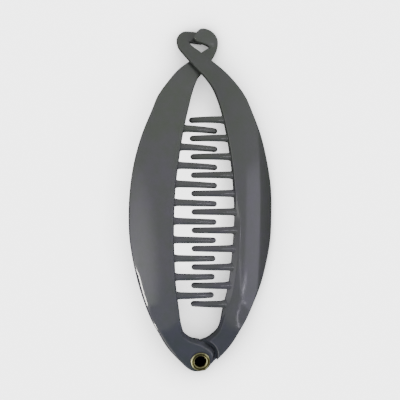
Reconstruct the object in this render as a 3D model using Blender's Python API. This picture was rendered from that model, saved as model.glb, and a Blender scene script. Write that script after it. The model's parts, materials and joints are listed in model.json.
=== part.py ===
"""Banana hair clip: two curved comb arms that turn on a brass eyelet and hook together at the far end.

The arms are worked out in the clip's own frame, in millimetres: +Y runs from the hinge to the hooks,
+X to the right arm and +Z out of the hair, with zero at the crest of the arch. A rest frame then lays
the whole clip on its back-side points, as it lies on a table. Every mesh is built in metres.
"""
import math
from collections import namedtuple

import bmesh
import bpy
from mathutils import Matrix, Vector

MM = 0.001

# The outer face of both arms is one doubly arched surface.
BOW_RADIUS = 139.0          # arch along the length
WRAP_RADIUS = 33.5          # arch across the width
FLAT_START = -47.5          # from here to the hinge end the surface is a flat tangent plane
WRAP_FADE_HINGE = 14.0      # length over which the cross arch dies out towards the hinge
WRAP_END_HOOK = 51.0        # beyond this the hooks have no cross arch
WRAP_FADE_HOOK = 11.0

# How the clip lies on a table: rolled on to the rim of its right arm and both ends.
REST_ROLL = 8.3
REST_PITCH = -0.6

HINGE_X = 0.0
HINGE_Y = -54.7
PLAY = 0.3                  # gap between pieces that touch on the real clip

# Half lap at the hinge: the left arm's eye lies over the right arm's tongue.
HINGE_THICK = 3.7
EYE_THICK = 1.7
SHOULDER_RADIUS = 7.1
CUT_REACH = 6.0             # how far a cutter runs past the arm
BARREL_RADIUS = 1.9
BORE_RADIUS = BARREL_RADIUS + PLAY

EDGE_RADIUS = 0.4           # rounding of the arms' edges
EDGE_STEPS = 2
FACE_COLUMNS = 4            # strips across an arm's face
LONG_SPAN = 4.0             # ribs further apart than this are filled with coarse steps
COARSE_STEP = 2.6
FINE_STEP = 1.25

# Comb teeth
TOOTH_DEPTH = 1.45          # centre of the root below the arm's outer face
TOOTH_DROP = 2.6            # how far the tip bends towards the hair
TOOTH_SUNK = 1.3            # length of root inside the arm
ROOT_HALF_WIDTH = 1.22
TIP_HALF_WIDTH = 0.98
ROOT_HALF_HEIGHT = 0.88
TIP_HALF_HEIGHT = 0.78
ROOT_FLARE = 0.3            # fillet where a tooth meets the arm
FLARE_LENGTH = 0.6
TOOTH_SIDES = 8
TOOTH_FRACTIONS = (0.0, 0.1, 0.17, 0.26, 0.5, 0.75, 0.945, 0.98, 0.997)
TIP_ROUND_START = 0.945

Comb = namedtuple("Comb", "count first_y last_y first_slant last_slant first_reach last_reach")
COMBS = {
    "left": Comb(10, 24.55, -32.8, -0.052, -0.02, 5.6, 4.55),
    "right": Comb(11, 28.0, -35.8, 0.024, -0.04, 5.1, 4.1),
}

# Blade ribs: where the edges of both arms are at height y.
BladeRib = namedtuple("BladeRib", "y left_outer left_inner right_inner right_outer thick")
BLADE = (
    BladeRib(-44.2, -15.15, -6.45, 5.6, 13.2, 3.5),
    BladeRib(-37.4, -18.55, -8.25, 7.5, 17.15, 2.9),
    BladeRib(-29.0, -21.5, -9.65, 9.35, 20.75, 2.5),
    BladeRib(-21.0, -23.4, -10.25, 10.25, 22.95, 2.4),
    BladeRib(-13.0, -24.65, -10.65, 10.85, 24.4, 2.35),
    BladeRib(-5.0, -25.0, -10.65, 11.2, 24.75, 2.35),
    BladeRib(3.4, -24.65, -10.25, 10.8, 24.65, 2.35),
    BladeRib(14.0, -23.1, -8.9, 9.75, 23.0, 2.35),
    BladeRib(24.0, -20.2, -7.1, 8.1, 20.3, 2.3),
    BladeRib(32.0, -16.75, -5.05, 6.2, 16.9, 2.2),
)

# Ribs of the two ends. A rib runs from the outer to the inner edge, and depth is how far its face
# lies below the arched surface.
Rib = namedtuple("Rib", "outer_x outer_y inner_x inner_y depth thick")
HINGE_ENDS = {
    "left": (
        Rib(1.6, -57.95, 3.1, -56.5, 0.0, HINGE_THICK),
        Rib(-0.9, -58.3, 4.05, -55.1, 0.0, HINGE_THICK),
        Rib(-3.1, -57.9, 4.35, -52.7, 0.0, HINGE_THICK),
        Rib(-5.15, -56.5, 3.35, -51.0, 0.0, HINGE_THICK),
        Rib(-6.65, -55.1, 0.9, -49.5, 0.0, HINGE_THICK),
        Rib(-8.1, -53.75, -0.8, -48.15, 0.0, HINGE_THICK),
        Rib(-10.65, -51.05, -3.25, -47.45, 0.0, HINGE_THICK),
        Rib(-12.75, -48.3, -5.45, -46.0, 0.0, HINGE_THICK),
    ),
    "right": (
        Rib(-2.6, -57.3, -3.7, -56.6, 0.0, HINGE_THICK),
        Rib(-0.7, -57.95, -4.6, -55.1, 0.0, HINGE_THICK),
        Rib(1.4, -57.65, -4.9, -52.7, 0.0, HINGE_THICK),
        Rib(3.45, -56.75, -4.2, -51.0, 0.0, HINGE_THICK),
        Rib(4.85, -55.35, -2.2, -49.4, 0.0, HINGE_THICK),
        Rib(6.45, -53.65, 0.4, -48.1, 0.0, HINGE_THICK),
        Rib(8.8, -51.1, 2.15, -47.45, 0.0, HINGE_THICK),
        Rib(10.8, -48.4, 3.95, -46.05, 0.0, HINGE_THICK),
    ),
}
HOOK_ENDS = {
    "left": (
        Rib(-14.9, 36.2, -3.7, 36.7, 0.15, 2.1),
        Rib(-11.35, 41.55, -2.35, 40.3, 1.25, 2.0),
        Rib(-7.1, 45.9, -0.9, 43.0, 1.95, 1.9),
        Rib(-4.3, 47.95, 0.95, 44.9, 2.0, 1.8),
        Rib(-2.2, 49.3, 2.45, 46.7, 2.0, 1.8),
        Rib(-0.6, 50.6, 3.45, 48.25, 2.0, 1.8),
        Rib(0.75, 51.6, 4.4, 49.65, 1.95, 1.8),
        Rib(2.0, 52.25, 5.3, 51.15, 1.6, 1.8),
        Rib(2.95, 52.65, 6.1, 53.2, 1.1, 1.8),
        Rib(2.75, 53.1, 6.1, 55.5, 0.4, 1.8),
        Rib(1.8, 53.3, 4.75, 57.4, -0.3, 1.8),
        Rib(0.6, 53.6, 2.5, 58.5, -0.8, 1.8),
        Rib(-0.7, 53.9, 0.35, 58.55, -1.05, 1.8),
        Rib(-1.8, 54.45, -1.0, 57.55, -1.1, 1.6),
        Rib(-2.3, 55.2, -2.0, 56.4, -1.1, 1.2),
    ),
    "right": (
        Rib(14.85, 36.1, 4.55, 36.7, 0.0, 2.1),
        Rib(10.95, 41.1, 2.45, 40.4, -0.05, 2.0),
        Rib(6.7, 45.15, 0.15, 43.15, -0.2, 1.9),
        Rib(3.4, 47.75, -1.6, 45.0, -0.2, 1.8),
        Rib(1.3, 49.4, -3.3, 46.9, -0.2, 1.8),
        Rib(-0.65, 51.05, -4.9, 48.8, -0.15, 1.8),
        Rib(-2.35, 52.35, -6.35, 50.7, 0.0, 1.8),
        Rib(-3.5, 53.45, -7.65, 52.8, 0.2, 1.8),
        Rib(-3.8, 54.3, -7.95, 55.8, 0.5, 1.8),
        Rib(-3.2, 54.65, -5.85, 58.05, 0.9, 1.8),
        Rib(-2.0, 54.6, -2.7, 58.3, 1.2, 1.8),
        Rib(-0.2, 54.5, -0.35, 57.95, 1.35, 1.8),
        Rib(0.9, 54.5, 1.0, 57.2, 1.4, 1.6),
        Rib(1.35, 55.0, 1.4, 56.2, 1.4, 1.3),
    ),
}

# Eyelet, turned round the hinge axis. Its hole is open in front and closed by the head at the back.
FLANGE_RADIUS = 3.4
FLANGE_FLAT_RADIUS = 3.05
FLANGE_THICK = 0.45
LIP_RADIUS = 1.75
HOLE_RADIUS = 1.45
HOLE_DEPTH = 3.2            # floor of the hole below the arms' outer face
EYELET_SIDES = 32

# Finishes: base colour, metallic, roughness
PLASTIC = ("grey_plastic", (0.055, 0.055, 0.06, 1.0), 0.0, 0.15)
BRASS = ("aged_brass", (0.42, 0.30, 0.16, 1.0), 1.0, 0.35)


def ease(share):
    """Go from 0 to 1 with level ends."""
    share = min(max(share, 0.0), 1.0)
    return share * share * (3.0 - 2.0 * share)


def bow_drop(y):
    """How far the arch along the clip has fallen from its crest."""
    if y >= FLAT_START:
        return BOW_RADIUS - math.sqrt(BOW_RADIUS ** 2 - y ** 2)
    start = math.sqrt(BOW_RADIUS ** 2 - FLAT_START ** 2)
    return BOW_RADIUS - start + (FLAT_START - y) * (-FLAT_START / start)


def surface_height(x, y):
    """Height of the arms' outer face above the crest."""
    if y < 0.0:
        share = ease((y - FLAT_START) / WRAP_FADE_HINGE)
    else:
        share = ease((WRAP_END_HOOK - y) / WRAP_FADE_HOOK)
    wrap = WRAP_RADIUS - math.sqrt(WRAP_RADIUS ** 2 - x ** 2)
    return -bow_drop(y) - share * wrap


def surface_normal(x, y):
    """Unit vector out of the arched surface."""
    reach = 0.05
    slope_x = (surface_height(x + reach, y) - surface_height(x - reach, y)) / (2.0 * reach)
    slope_y = (surface_height(x, y + reach) - surface_height(x, y - reach)) / (2.0 * reach)
    return Vector((-slope_x, -slope_y, 1.0)).normalized()


def below_surface(x, y, depth):
    """Point at a depth under the arched surface, in millimetres."""
    return Vector((x, y, surface_height(x, y))) - surface_normal(x, y) * depth


def arm_ribs(side):
    """All ribs of an arm, from its hinge end to the tip of its hook."""
    blade = []
    for rib in BLADE:
        outer_x = rib.left_outer if side == "left" else rib.right_outer
        inner_x = rib.left_inner if side == "left" else rib.right_inner
        blade.append(Rib(outer_x, rib.y, inner_x, rib.y, 0.0, rib.thick))
    return list(HINGE_ENDS[side]) + blade + list(HOOK_ENDS[side])


def rib_distance(first, second):
    """Distance between the middles of two ribs."""
    across = (first.outer_x + first.inner_x - second.outer_x - second.inner_x) / 2.0
    along = (first.outer_y + first.inner_y - second.outer_y - second.inner_y) / 2.0
    return math.hypot(across, along)


def smooth_ribs(ribs):
    """Fill the spans between ribs along a smooth curve through them."""
    rows = [Vector(rib) for rib in ribs]
    spans = [rib_distance(a, b) for a, b in zip(ribs, ribs[1:])]
    slopes = [(b - a) / span for a, b, span in zip(rows, rows[1:], spans)]
    tangents = [slopes[0]]
    for index in range(1, len(rows) - 1):
        before, after = spans[index - 1], spans[index]
        blend = (slopes[index - 1] * after + slopes[index] * before) / (before + after)
        tangents.append(blend)
    tangents.append(slopes[-1])
    filled = []
    for index, span in enumerate(spans):
        step = COARSE_STEP if span > LONG_SPAN else FINE_STEP
        count = max(1, round(span / step))
        for part in range(count):
            t = part / count
            start_weight = 2 * t ** 3 - 3 * t ** 2 + 1
            end_weight = 3 * t ** 2 - 2 * t ** 3
            point = rows[index] * start_weight + rows[index + 1] * end_weight
            point += tangents[index] * span * (t ** 3 - 2 * t ** 2 + t)
            point += tangents[index + 1] * span * (t ** 3 - t ** 2)
            filled.append(Rib(*point))
    filled.append(ribs[-1])
    return filled


def rib_outline(rib):
    """Closed outline across an arm: rounded edges and a face of a few columns."""
    outer = Vector((rib.outer_x, rib.outer_y))
    inner = Vector((rib.inner_x, rib.inner_y))
    width = (inner - outer).length
    radius = min(EDGE_RADIUS, 0.45 * width, 0.45 * rib.thick)
    corner = [math.pi / 2 * step / EDGE_STEPS for step in range(EDGE_STEPS + 1)]
    half = []
    for column in range(1, FACE_COLUMNS):
        half.append((radius + (width - 2 * radius) * column / FACE_COLUMNS, 0.0))
    for angle in corner:
        half.append((width - radius + radius * math.sin(angle), radius - radius * math.cos(angle)))
    turned = [(width - across, rib.thick - down) for across, down in half]
    lower_corner = [(width - radius + radius * math.cos(angle),
                     rib.thick - radius + radius * math.sin(angle)) for angle in corner]
    upper_corner = [(width - across, rib.thick - down) for across, down in lower_corner]
    outline = []
    for across, down in half + lower_corner + turned + upper_corner:
        place = outer.lerp(inner, across / width)
        outline.append(below_surface(place.x, place.y, rib.depth + down))
    return outline


def loft(outlines):
    """Closed mesh through a row of outlines with equal point counts."""
    mesh = bmesh.new()
    rings = [[mesh.verts.new(point * MM) for point in outline] for outline in outlines]
    for ring, following in zip(rings, rings[1:]):
        for index, vertex in enumerate(ring):
            beside = (index + 1) % len(ring)
            mesh.faces.new((vertex, ring[beside], following[beside], following[index]))
    mesh.faces.new(rings[0])
    mesh.faces.new(rings[-1])
    bmesh.ops.recalc_face_normals(mesh, faces=mesh.faces)
    return mesh


def inner_edge_x(side, y):
    """Where an arm's inner edge is at height y."""
    for low, high in zip(BLADE, BLADE[1:]):
        if low.y <= y <= high.y:
            share = (y - low.y) / (high.y - low.y)
            start = low.left_inner if side == "left" else low.right_inner
            end = high.left_inner if side == "left" else high.right_inner
            return start + (end - start) * share
    raise ValueError("a tooth must start on the blade")


def tooth_outlines(side, y, slant, reach):
    """Outlines of one tooth, from its sunk root to its round tip."""
    sign = -1.0 if side == "left" else 1.0
    root_x = inner_edge_x(side, y) + sign * TOOTH_SUNK
    tip_x = -sign * reach
    length = abs(tip_x - root_x)
    outlines = []
    for share in TOOTH_FRACTIONS:
        x = root_x + (tip_x - root_x) * share
        run = abs(x) if x * sign < 0 else -abs(x)
        centre_y = y + slant * run
        beyond = max(share * length - TOOTH_SUNK, 0.0)
        flare = ROOT_FLARE * math.exp(-((beyond / FLARE_LENGTH) ** 2))
        tip_share = max(share - TIP_ROUND_START, 0.0) / (1.0 - TIP_ROUND_START)
        shrink = math.sqrt(1.0 - tip_share ** 2)
        half_width = ROOT_HALF_WIDTH + (TIP_HALF_WIDTH - ROOT_HALF_WIDTH) * share
        half_height = ROOT_HALF_HEIGHT + (TIP_HALF_HEIGHT - ROOT_HALF_HEIGHT) * share
        half_width = (half_width + flare) * shrink
        depth = TOOTH_DEPTH + TOOTH_DROP * share ** 2
        outline = []
        for corner in range(TOOTH_SIDES):
            angle = 2.0 * math.pi * (corner + 0.5) / TOOTH_SIDES
            along = half_width * math.cos(angle)
            down = depth - half_height * shrink * math.sin(angle)
            outline.append(below_surface(x, centre_y + along, down))
        outlines.append(outline)
    return outlines


def comb_mesh(side):
    """All teeth of an arm in one mesh of separate closed bodies."""
    comb = COMBS[side]
    whole = bmesh.new()
    for index in range(comb.count):
        share = index / (comb.count - 1)
        y = comb.first_y + (comb.last_y - comb.first_y) * share
        slant = comb.first_slant + (comb.last_slant - comb.first_slant) * share
        reach = comb.first_reach + (comb.last_reach - comb.first_reach) * share
        tooth = loft(tooth_outlines(side, y, slant, reach))
        piece = bpy.data.meshes.new("tooth")
        tooth.to_mesh(piece)
        tooth.free()
        whole.from_mesh(piece)
        bpy.data.meshes.remove(piece)
    return whole


def hinge_frame():
    """Frame at the eyelet in metres: +Z out along the hinge axis, zero on the arms' outer face."""
    centre = below_surface(HINGE_X, HINGE_Y, 0.0) * MM
    normal = surface_normal(HINGE_X, HINGE_Y)
    turn = Vector((0.0, 0.0, 1.0)).rotation_difference(normal).to_matrix().to_4x4()
    return Matrix.Translation(centre) @ turn


def turned_mesh(profile, sides):
    """Closed body turned round the hinge axis from a profile of radius and depth, with flat ends."""
    mesh = bmesh.new()
    rings = []
    for radius, depth in profile:
        ring = []
        for side in range(sides):
            angle = 2.0 * math.pi * side / sides
            point = (radius * math.cos(angle), radius * math.sin(angle), -depth)
            ring.append(mesh.verts.new(Vector(point) * MM))
        rings.append(ring)
    for ring, following in zip(rings, rings[1:]):
        for side in range(sides):
            beside = (side + 1) % sides
            mesh.faces.new((ring[side], ring[beside], following[beside], following[side]))
    mesh.faces.new(rings[0])
    mesh.faces.new(rings[-1])
    bmesh.ops.recalc_face_normals(mesh, faces=mesh.faces)
    return mesh


def disc_mesh(radius, top_depth, bottom_depth, sides):
    """Closed cylinder on the hinge axis between two depths."""
    mesh = bmesh.new()
    middle = Matrix.Translation((0.0, 0.0, -(top_depth + bottom_depth) / 2.0 * MM))
    bmesh.ops.create_cone(mesh, cap_ends=True, segments=sides, radius1=radius * MM,
                          radius2=radius * MM, depth=(bottom_depth - top_depth) * MM, matrix=middle)
    return mesh


def finish_material(finish):
    """Principled material from a finish row."""
    name, colour, metallic, roughness = finish
    material = bpy.data.materials.new(name)
    material.use_nodes = True
    shader = material.node_tree.nodes["Principled BSDF"]
    shader.inputs["Base Color"].default_value = colour
    shader.inputs["Metallic"].default_value = metallic
    shader.inputs["Roughness"].default_value = roughness
    material.diffuse_color = colour
    return material


def new_object(name, mesh, parent, frame, material=None):
    """Object from a bmesh, whose own frame is a matrix under its parent."""
    data = bpy.data.meshes.new(name)
    mesh.to_mesh(data)
    mesh.free()
    piece = bpy.data.objects.new(name, data)
    bpy.context.collection.objects.link(piece)
    piece.parent = parent
    piece.matrix_local = frame
    if material:
        data.materials.append(material)
        data.shade_smooth()
        data.set_sharp_from_angle(angle=math.radians(35))
    return piece


def hide_tool(tool):
    """Leave a cutting or joining body out of the finished clip."""
    tool.hide_render = True
    tool.display_type = "WIRE"


def add_boolean(piece, tool, operation):
    """Join or cut a piece with a helper body."""
    modifier = piece.modifiers.new(tool.name, "BOOLEAN")
    modifier.solver = "EXACT"
    modifier.operation = operation
    modifier.object = tool
    hide_tool(tool)


def make_arm(side, parent, hinge, material):
    """One arm: blade, hook and hinge end in one body, with its teeth, lap and bore."""
    outlines = [rib_outline(rib) for rib in smooth_ribs(arm_ribs(side))]
    body = loft(outlines)
    bmesh.ops.transform(body, matrix=hinge.inverted(), verts=body.verts)
    arm = new_object(f"{side}_arm", body, parent, hinge, material)

    teeth = comb_mesh(side)
    bmesh.ops.transform(teeth, matrix=hinge.inverted(), verts=teeth.verts)
    add_boolean(arm, new_object(f"{side}_teeth", teeth, parent, hinge), "UNION")

    if side == "left":
        lap = disc_mesh(SHOULDER_RADIUS, EYE_THICK, HINGE_THICK + CUT_REACH, 48)
    else:
        lap = disc_mesh(SHOULDER_RADIUS, -CUT_REACH, EYE_THICK + PLAY, 48)
    add_boolean(arm, new_object(f"{side}_lap", lap, parent, hinge), "DIFFERENCE")

    bore = disc_mesh(BORE_RADIUS, -CUT_REACH, HINGE_THICK + CUT_REACH, EYELET_SIDES)
    add_boolean(arm, new_object(f"{side}_bore", bore, parent, hinge), "DIFFERENCE")
    return arm


def make_eyelet(parent, hinge, material):
    """Brass eyelet: a barrel through both arms, with a hollow flange in front and a closed head."""
    top = -PLAY - FLANGE_THICK
    bottom = HINGE_THICK + PLAY + FLANGE_THICK
    profile = (
        (HOLE_RADIUS, HOLE_DEPTH),
        (HOLE_RADIUS, top + FLANGE_THICK),
        (LIP_RADIUS, top),
        (FLANGE_FLAT_RADIUS, top),
        (FLANGE_RADIUS, top + FLANGE_THICK * 0.5),
        (FLANGE_RADIUS, -PLAY),
        (BARREL_RADIUS, -PLAY),
        (BARREL_RADIUS, HINGE_THICK + PLAY),
        (FLANGE_RADIUS, HINGE_THICK + PLAY),
        (FLANGE_RADIUS, bottom - FLANGE_THICK * 0.5),
        (FLANGE_FLAT_RADIUS, bottom),
    )
    return new_object("hinge_eyelet", turned_mesh(profile, EYELET_SIDES), parent, hinge, material)


def lay_down(frame, pieces):
    """Set the clip on the table, with its lowest point at zero and its box centred."""
    roll = Matrix.Rotation(math.radians(REST_ROLL), 4, "Y")
    pitch = Matrix.Rotation(math.radians(REST_PITCH), 4, "X")
    frame.matrix_world = pitch @ roll
    bpy.context.view_layer.update()
    graph = bpy.context.evaluated_depsgraph_get()
    points = []
    for piece in pieces:
        shown = piece.evaluated_get(graph)
        points += [shown.matrix_world @ vertex.co for vertex in shown.data.vertices]
    low = [min(point[axis] for point in points) for axis in range(3)]
    high = [max(point[axis] for point in points) for axis in range(3)]
    shift = Vector((-(low[0] + high[0]) / 2.0, -(low[1] + high[1]) / 2.0, -low[2]))
    frame.matrix_world = Matrix.Translation(shift) @ pitch @ roll


def main():
    """Build the clip."""
    for old in list(bpy.data.objects):
        bpy.data.objects.remove(old, do_unlink=True)
    frame = bpy.data.objects.new("rest_frame", None)
    bpy.context.collection.objects.link(frame)
    hinge = hinge_frame()
    plastic = finish_material(PLASTIC)
    brass = finish_material(BRASS)
    arms = [make_arm(side, frame, hinge, plastic) for side in ("left", "right")]
    eyelet = make_eyelet(frame, hinge, brass)
    lay_down(frame, arms + [eyelet])


main()
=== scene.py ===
"""Looks of the banana hair clip: smooth glossy arms with their teeth, brass eyelet and studio.

Sizes are millimetres in the clip's own frame, as in the part's source: +Y from the hinge to the
hooks, +X to the right arm, +Z out of the hair, zero at the crest. RestFrame carries them to the
model's frame in metres, and takes the hinge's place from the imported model.
"""
import json
import logging
import math
from dataclasses import dataclass
from enum import Enum

import bmesh
import bpy
from mathutils import Matrix, Vector

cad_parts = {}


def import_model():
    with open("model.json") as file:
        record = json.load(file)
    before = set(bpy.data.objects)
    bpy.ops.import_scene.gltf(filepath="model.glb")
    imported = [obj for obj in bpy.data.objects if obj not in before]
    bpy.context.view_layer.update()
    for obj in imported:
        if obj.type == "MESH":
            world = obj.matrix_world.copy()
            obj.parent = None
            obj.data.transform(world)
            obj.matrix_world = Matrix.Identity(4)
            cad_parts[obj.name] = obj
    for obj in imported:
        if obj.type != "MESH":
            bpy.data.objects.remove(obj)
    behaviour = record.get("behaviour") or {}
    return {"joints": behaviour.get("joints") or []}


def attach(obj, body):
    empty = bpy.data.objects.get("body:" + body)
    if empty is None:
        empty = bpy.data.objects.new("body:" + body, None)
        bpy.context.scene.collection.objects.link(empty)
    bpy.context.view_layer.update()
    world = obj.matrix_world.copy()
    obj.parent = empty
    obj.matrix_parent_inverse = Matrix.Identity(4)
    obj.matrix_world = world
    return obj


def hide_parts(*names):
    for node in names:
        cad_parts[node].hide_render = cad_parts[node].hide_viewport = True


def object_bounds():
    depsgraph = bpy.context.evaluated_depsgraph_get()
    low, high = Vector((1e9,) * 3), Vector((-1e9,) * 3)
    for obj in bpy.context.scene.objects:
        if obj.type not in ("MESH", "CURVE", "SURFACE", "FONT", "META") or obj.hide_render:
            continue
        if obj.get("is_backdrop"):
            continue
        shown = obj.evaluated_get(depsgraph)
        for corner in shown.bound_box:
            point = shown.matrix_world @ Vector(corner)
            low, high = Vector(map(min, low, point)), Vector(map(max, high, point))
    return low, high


LOG = logging.getLogger("hair_clip")
MM = 0.001
PHOTO_PIXELS = 400
MM_PER_PIXEL = 0.34
Piece, Material = bpy.types.Object, bpy.types.Material
Socket, Mesh = bpy.types.NodeSocket, bmesh.types.BMesh


class Side(Enum):
    """One of the two arms, with the sign of its X side."""

    LEFT = -1.0
    RIGHT = 1.0

    @property
    def word(self) -> str:
        """Plain name of the side."""
        return self.name.lower()


@dataclass(frozen=True)
class Rib:
    """A line across an arm, from its outer to its inner edge."""

    outer_x: float
    outer_y: float
    inner_x: float
    inner_y: float
    depth: float
    thick: float

    def row(self) -> Vector:
        """All values as one vector, for blending."""
        return Vector((self.outer_x, self.outer_y, self.inner_x, self.inner_y,
                       self.depth, self.thick))

    def middle(self) -> Vector:
        """Middle of the rib in plan."""
        return Vector(((self.outer_x + self.inner_x) / 2.0, (self.outer_y + self.inner_y) / 2.0))


@dataclass(frozen=True)
class BladeRib:
    """Where the edges of both arms are at one height."""

    y: float
    left_outer: float
    left_inner: float
    right_inner: float
    right_outer: float
    thick: float

    def inner(self, side: Side) -> float:
        """Inner edge of one arm."""
        return self.left_inner if side is Side.LEFT else self.right_inner

    def on(self, side: Side) -> Rib:
        """The rib on one side of the clip."""
        outer_x = self.left_outer if side is Side.LEFT else self.right_outer
        return Rib(outer_x, self.y, self.inner(side), self.y, 0.0, self.thick)


HINGE_THICK = 3.7
BLADE = tuple(BladeRib(*row) for row in (
    (-44.2, -15.15, -6.45, 5.6, 13.2, 3.5), (-37.4, -18.55, -8.25, 7.5, 17.15, 2.9),
    (-29.0, -21.5, -9.65, 9.35, 20.75, 2.5), (-21.0, -23.4, -10.25, 10.25, 22.95, 2.4),
    (-13.0, -24.65, -10.65, 10.85, 24.4, 2.35), (-5.0, -25.0, -10.65, 11.2, 24.75, 2.35),
    (3.4, -24.65, -10.25, 10.8, 24.65, 2.35), (14.0, -23.1, -8.9, 9.75, 23.0, 2.35),
    (24.0, -20.2, -7.1, 8.1, 20.3, 2.3), (32.0, -16.75, -5.05, 6.2, 16.9, 2.2),
))


def ribs_of(rows: tuple, *common: float) -> tuple[Rib, ...]:
    """Ribs from rows of numbers, each followed by the values that they share."""
    return tuple(Rib(*row, *common) for row in rows)


HINGE_ENDS = {
    Side.LEFT: ribs_of((
        (1.6, -57.95, 3.1, -56.5), (-0.9, -58.3, 4.05, -55.1), (-3.1, -57.9, 4.35, -52.7),
        (-5.15, -56.5, 3.35, -51.0), (-6.65, -55.1, 0.9, -49.5), (-8.1, -53.75, -0.8, -48.15),
        (-10.65, -51.05, -3.25, -47.45), (-12.75, -48.3, -5.45, -46.0),
    ), 0.0, HINGE_THICK),
    Side.RIGHT: ribs_of((
        (-2.6, -57.3, -3.7, -56.6), (-0.7, -57.95, -4.6, -55.1), (1.4, -57.65, -4.9, -52.7),
        (3.45, -56.75, -4.2, -51.0), (4.85, -55.35, -2.2, -49.4), (6.45, -53.65, 0.4, -48.1),
        (8.8, -51.1, 2.15, -47.45), (10.8, -48.4, 3.95, -46.05),
    ), 0.0, HINGE_THICK),
}
HOOK_ENDS = {
    Side.LEFT: ribs_of((
        (-14.9, 36.2, -3.7, 36.7, 0.15, 2.1), (-11.35, 41.55, -2.35, 40.3, 1.25, 2.0),
        (-7.1, 45.9, -0.9, 43.0, 1.95, 1.9), (-4.3, 47.95, 0.95, 44.9, 2.0, 1.8),
        (-2.2, 49.3, 2.45, 46.7, 2.0, 1.8), (-0.6, 50.6, 3.45, 48.25, 2.0, 1.8),
        (0.75, 51.6, 4.4, 49.65, 1.95, 1.8), (2.0, 52.25, 5.3, 51.15, 1.6, 1.8),
        (2.95, 52.65, 6.1, 53.2, 1.1, 1.8), (2.75, 53.1, 6.1, 55.5, 0.4, 1.8),
        (1.8, 53.3, 4.75, 57.4, -0.3, 1.8), (0.6, 53.6, 2.5, 58.5, -0.8, 1.8),
        (-0.7, 53.9, 0.35, 58.55, -1.05, 1.8), (-1.8, 54.45, -1.0, 57.55, -1.1, 1.6),
        (-2.3, 55.2, -2.0, 56.4, -1.1, 1.2),
    )),
    Side.RIGHT: ribs_of((
        (14.85, 36.1, 4.55, 36.7, 0.0, 2.1), (10.95, 41.1, 2.45, 40.4, -0.05, 2.0),
        (6.7, 45.15, 0.15, 43.15, -0.2, 1.9), (3.4, 47.75, -1.6, 45.0, -0.2, 1.8),
        (1.3, 49.4, -3.3, 46.9, -0.2, 1.8), (-0.65, 51.05, -4.9, 48.8, -0.15, 1.8),
        (-2.35, 52.35, -6.35, 50.7, 0.0, 1.8), (-3.5, 53.45, -7.65, 52.8, 0.2, 1.8),
        (-3.8, 54.3, -7.95, 55.8, 0.5, 1.8), (-3.2, 54.65, -5.85, 58.05, 0.9, 1.8),
        (-2.0, 54.6, -2.7, 58.3, 1.2, 1.8), (-0.2, 54.5, -0.35, 57.95, 1.35, 1.8),
        (0.9, 54.5, 1.0, 57.2, 1.4, 1.6), (1.35, 55.0, 1.4, 56.2, 1.4, 1.3),
    )),
}


def ease(share: float) -> float:
    """Go from 0 to 1 with level, uncurved ends, so that reflections run on smoothly."""
    share = min(max(share, 0.0), 1.0)
    return share ** 3 * (share * (6.0 * share - 15.0) + 10.0)


def arc(degrees: float, steps: int) -> list[float]:
    """Angles in radians, in even steps from nought up to a number of degrees."""
    return [math.radians(degrees) * step / steps for step in range(steps + 1)]


@dataclass(frozen=True)
class Swell:
    """A size that an arm has along one stretch of its length, fading at both ends of it."""

    size: float
    start: float = -math.inf
    rise: float = 1.0
    end: float = math.inf
    fall: float = 1.0

    def at(self, y: float) -> float:
        """The size at height y."""
        return self.size * ease((y - self.start) / self.rise) * ease((self.end - y) / self.fall)


@dataclass(frozen=True)
class EdgeShape:
    """What differs between the edges of the two arms."""

    bevel_width: float
    bevel: tuple[Swell, ...]
    flare: Swell = Swell(0.0)
    broad: Swell = Swell(0.0)
    lip: Swell = Swell(0.0)


EDGES = {
    Side.LEFT: EdgeShape(
        bevel_width=0.22, bevel=(Swell(0.8, -49.3, 1.5, -42.5, 3.0),),
        flare=Swell(1.05, -55.4, 2.4, -47.5, 1.8), broad=Swell(1.0, -55.0, 5.0, -20.5, 7.0),
        lip=Swell(0.32, -56.5, 2.0, -46.0, 3.0)),
    Side.RIGHT: EdgeShape(
        bevel_width=0.16, bevel=(Swell(-0.13, 30.0, 8.0), Swell(1.14, end=3.0, fall=12.0),
                                 Swell(-0.6, end=-32.0, fall=9.0))),
}


@dataclass(frozen=True)
class Arch:
    """The doubly arched surface that both arms' outer faces follow."""

    bow_radius: float = 139.0
    wrap_radius: float = 33.5
    flat_start: float = -47.5
    wrap_fade_hinge: float = 14.0
    wrap_end_hook: float = 51.0
    wrap_fade_hook: float = 11.0

    def drop(self, y: float) -> float:
        """How far the long arch has fallen from its crest at height y."""
        if y >= self.flat_start:
            return self.bow_radius - math.sqrt(self.bow_radius ** 2 - y ** 2)
        start = math.sqrt(self.bow_radius ** 2 - self.flat_start ** 2)
        return self.bow_radius - start + (self.flat_start - y) * (-self.flat_start / start)

    def height(self, x: float, y: float) -> float:
        """Height of the surface over a place in plan."""
        if y < 0.0:
            share = ease((y - self.flat_start) / self.wrap_fade_hinge)
        else:
            share = ease((self.wrap_end_hook - y) / self.wrap_fade_hook)
        wrap = self.wrap_radius - math.sqrt(self.wrap_radius ** 2 - x ** 2)
        return -self.drop(y) - share * wrap

    def normal(self, x: float, y: float) -> Vector:
        """Unit vector out of the surface."""
        reach = 0.05
        slope_x = (self.height(x + reach, y) - self.height(x - reach, y)) / (2.0 * reach)
        slope_y = (self.height(x, y + reach) - self.height(x, y - reach)) / (2.0 * reach)
        return Vector((-slope_x, -slope_y, 1.0)).normalized()

    def under(self, x: float, y: float, depth: float) -> Vector:
        """Point at a depth under the surface."""
        return Vector((x, y, self.height(x, y))) - self.normal(x, y) * depth


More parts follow.
